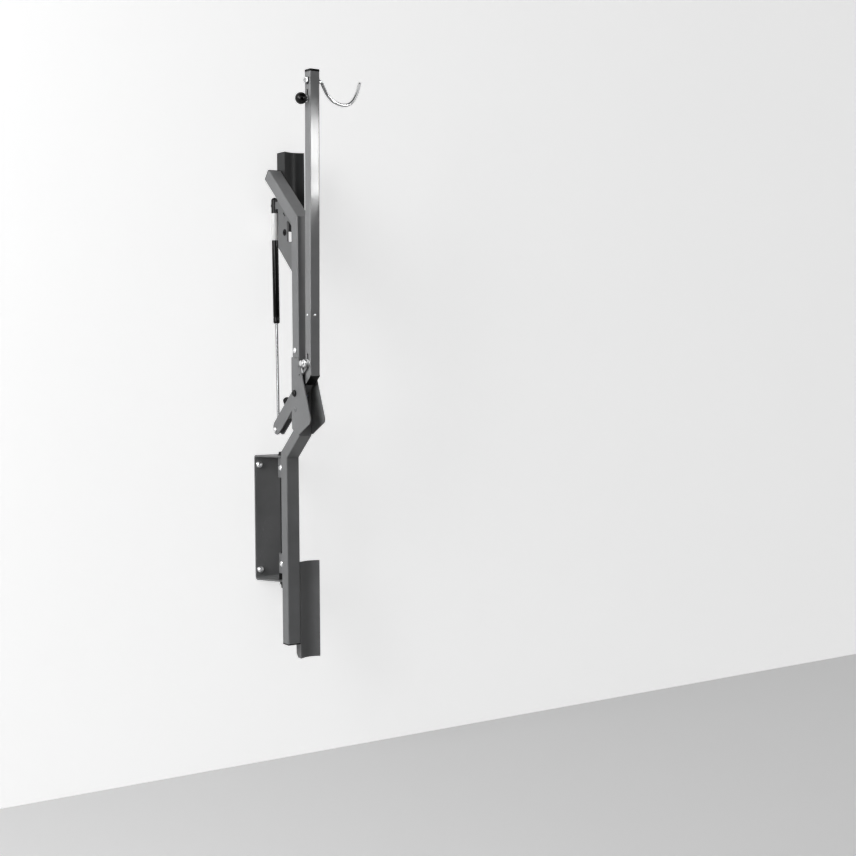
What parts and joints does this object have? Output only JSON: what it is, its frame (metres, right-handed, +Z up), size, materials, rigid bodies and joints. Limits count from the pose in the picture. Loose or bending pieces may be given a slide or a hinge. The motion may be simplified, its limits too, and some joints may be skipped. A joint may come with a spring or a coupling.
{
  "type": "bike hoist",
  "caption": "Wall-mounted swivelling bike hoist: a bent mast on a folded wall bracket, a folding arm with a wheel hook, and a gas spring that lifts the arm.",
  "frame": {"origin": "middle of the wall plate's back face, on the wall plane", "axes": "+X to the right seen from the room, +Y into the wall, +Z up; the hoist stands out towards -Y"},
  "size_m": [0.2049, 0.281, 1.6214],
  "materials": {
    "black_plastic": "glossy black moulding",
    "black_steel": "black oxide or semi-gloss black paint",
    "chrome": "polished plate",
    "dark_coat": "fine-textured dark grey powder coat",
    "grey_coat": "fine-textured grey powder coat",
    "nylon": "natural nylon",
    "rubber": "matt black rubber",
    "white_sleeve": "plain white film",
    "zinc": "bright zinc plate"
  },
  "bodies": {
    "wall_bracket": {"swivel_bush_lower": "black_plastic", "swivel_bush_upper": "black_plastic", "wall_bracket": "dark_coat", "wall_screw_lower_left": "zinc", "wall_screw_lower_right": "zinc", "wall_screw_upper_left": "zinc", "wall_screw_upper_right": "zinc"},
    "mast": {"arm_pivot_bolt": "black_steel", "arm_pivot_nut": "black_steel", "catch_screw_lower": "grey_coat", "catch_screw_upper": "grey_coat", "gusset_grommet": "rubber", "head_cheek_far": "grey_coat", "head_cheek_near": "grey_coat", "head_spacer_bolt": "black_steel", "latch_catch": "grey_coat", "lower_guide_screw_bottom": "zinc", "lower_guide_screw_top": "zinc", "lower_mast_tube": "grey_coat", "lug_bolt_lower": "zinc", "lug_bolt_upper": "zinc", "mast_foot_cap": "black_plastic", "mast_splice": "dark_coat", "slant_end_cap": "black_plastic", "splice_bolt": "zinc", "splice_nut": "zinc", "spring_gusset": "grey_coat", "spring_top_pin": "zinc", "swivel_lug_lower": "grey_coat", "swivel_lug_upper": "grey_coat", "swivel_nut": "black_steel", "swivel_pin": "black_steel", "tyre_guide_lower": "dark_coat", "tyre_guide_upper": "dark_coat", "upper_guide_screw_front": "zinc", "upper_guide_screw_rear": "zinc", "upper_mast_tube": "grey_coat"},
    "arm": {"arm_top_cap": "black_plastic", "arm_tube": "grey_coat", "hook_collar": "black_steel", "hook_nut": "zinc", "lever": "grey_coat", "lever_bumper": "rubber", "pivot_bush_far": "nylon", "pivot_bush_near": "nylon", "tail_bolt": "zinc", "tail_nut": "zinc", "wheel_hook": "chrome"},
    "latch_release": {"knob_stem": "zinc", "latch_pin": "zinc", "pull_rod": "zinc", "release_knob": "black_plastic"},
    "spring_cylinder": {"spring_cylinder": "black_steel", "spring_gland": "black_plastic", "spring_shackle": "black_steel", "spring_sleeve": "white_sleeve"},
    "spring_rod": {"rod_end_jaw": "black_steel", "spring_piston": "nylon", "spring_rod": "chrome"}
  },
  "joints": [
    {"name": "mast_swivel", "type": "hinge", "parent": "wall_bracket", "child": "mast", "pos_m": [0, -0.07, 0], "axis": [0, 0, 1], "range_deg": [-80, 25]},
    {"name": "arm_hinge", "type": "hinge", "parent": "mast", "child": "arm", "pos_m": [0, -0.193, 0.358], "axis": [1, 0, 0], "range_deg": [0, 86], "stiffness_Nm_per_rad": 15, "springref_deg": -68.75},
    {"name": "latch_pull", "type": "slide", "parent": "arm", "child": "latch_release", "axis": [0, -0.0164, 0.9999], "range_m": [0, 0.022], "stiffness_N_per_m": 150, "springref_m": -0.03},
    {"name": "spring_swing", "type": "hinge", "parent": "mast", "child": "spring_cylinder", "pos_m": [0, -0.042, 0.883], "axis": [1, 0, 0], "range_deg": [-4.19, 0]},
    {"name": "spring_stroke", "type": "slide", "parent": "spring_cylinder", "child": "spring_rod", "axis": [0, 0.0165, 0.9999], "range_m": [0, 0.2377]}
  ],
  "couplings": [
    {"joint": "spring_swing", "follows": "arm_hinge", "ratio": -0.048701},
    {"joint": "spring_stroke", "follows": "arm_hinge", "m_per_rad": 0.1583}
  ]
}
